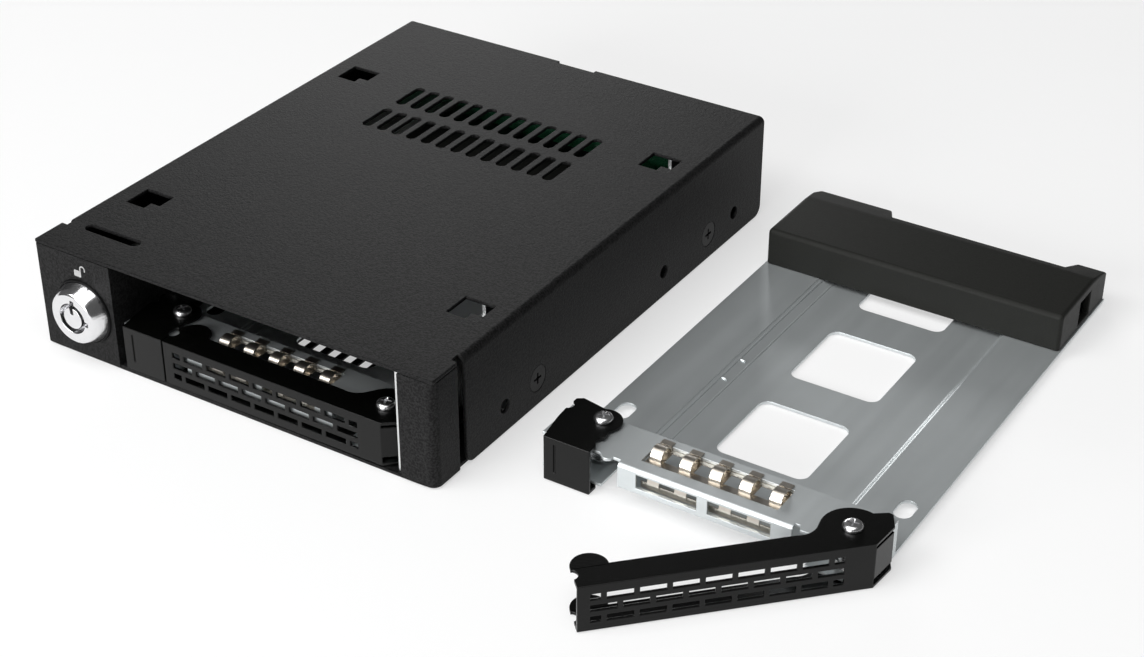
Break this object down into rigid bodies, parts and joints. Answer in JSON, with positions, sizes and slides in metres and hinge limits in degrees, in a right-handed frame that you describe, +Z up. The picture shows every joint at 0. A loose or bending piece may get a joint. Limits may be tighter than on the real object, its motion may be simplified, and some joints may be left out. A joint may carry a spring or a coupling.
{
  "type": "hot swap drive cage",
  "caption": "Slim two-bay cage for a 3.5-inch bay with key lock, one small-drive tray home and the other lying beside it with its lever open.",
  "frame": {"origin": "centre of the cage's bottom face", "axes": "+X across the front to the right, +Y from front to rear, +Z up"},
  "size_m": [0.1868, 0.1574, 0.0254],
  "materials": {
    "black_powder_coat": "fine textured powder coat",
    "satin_black_paint": "satin paint",
    "zinc_plate": "bright zinc plating",
    "bare_steel": "galvanised sheet",
    "nickel_strip": "nickel-plated spring sheet",
    "bright_screws": "polished nickel",
    "lock_chrome": "polished chrome",
    "black_oxide": "black oxide",
    "circuit_board": "solder mask",
    "connector_plastic": "moulded nylon",
    "black_plastic": "fine-textured moulding"
  },
  "bodies": {
    "chassis": {"top_cover": "black_powder_coat", "base_chassis": "black_powder_coat", "right_guide_rail": "zinc_plate", "left_guide_rail": "zinc_plate", "lock_housing": "lock_chrome", "lock_collar": "black_oxide", "lock_nut": "zinc_plate", "backplane_board": "circuit_board", "drive_socket_lower": "connector_plastic", "drive_socket_upper": "connector_plastic", "data_port_1": "connector_plastic", "data_port_2": "connector_plastic", "power_port": "connector_plastic", "backplane_screws": "bright_screws", "cover_screws": "black_oxide"},
    "lock_plug": {"lock_core": "lock_chrome", "lock_cam": "zinc_plate", "cam_screw": "zinc_plate"},
    "lower_tray": {"lower_tray_pan": "bare_steel", "lower_pivot_posts": "bright_screws", "lower_pivot_screws": "bright_screws", "lower_contact_strip": "nickel_strip", "lower_rear_cap": "black_plastic", "lower_lever_spring": "bright_screws", "lower_latch_spring": "bright_screws"},
    "lower_lever": {"lower_lever": "satin_black_paint"},
    "lower_latch": {"lower_latch": "satin_black_paint"},
    "spare_tray": {"spare_tray_pan": "bare_steel", "spare_pivot_posts": "bright_screws", "spare_pivot_screws": "bright_screws", "spare_contact_strip": "nickel_strip", "spare_rear_cap": "black_plastic", "spare_lever_spring": "bright_screws", "spare_latch_spring": "bright_screws"},
    "spare_lever": {"spare_lever": "satin_black_paint"},
    "spare_latch": {"spare_latch": "satin_black_paint"}
  },
  "joints": [
    {"name": "lower_tray_slide", "type": "slide", "parent": "chassis", "child": "lower_tray", "axis": [0, -1, 0], "range_m": [0, 0.135]},
    {"name": "lower_lever_pivot", "type": "hinge", "parent": "lower_tray", "child": "lower_lever", "pos_m": [0.0351, -0.0606, 0.0011], "axis": [0, 0, 1], "range_deg": [0, 50]},
    {"name": "lower_latch_pivot", "type": "hinge", "parent": "lower_tray", "child": "lower_latch", "pos_m": [-0.0216, -0.0553, 0.0011], "axis": [0, 0, -1], "range_deg": [0, 7], "stiffness_Nm_per_rad": 0.004, "springref_deg": -11.46},
    {"name": "spare_tray_lift", "type": "slide", "parent": "chassis", "child": "spare_tray", "axis": [0, 0, 1], "range_m": [0, 0.05]},
    {"name": "spare_lever_pivot", "type": "hinge", "parent": "spare_tray", "child": "spare_lever", "pos_m": [0.12955, -0.0458, 0], "axis": [0, 0, 1], "range_deg": [-45.4, 4.6]},
    {"name": "spare_latch_pivot", "type": "hinge", "parent": "spare_tray", "child": "spare_latch", "pos_m": [0.07285, -0.0405, 0], "axis": [0, 0, -1], "range_deg": [0, 7], "stiffness_Nm_per_rad": 0.004, "springref_deg": -11.46},
    {"name": "lock_turn", "type": "hinge", "parent": "chassis", "child": "lock_plug", "pos_m": [-0.039, -0.0662, 0.0115], "axis": [0, 1, 0], "range_deg": [0, 90]}
  ]
}
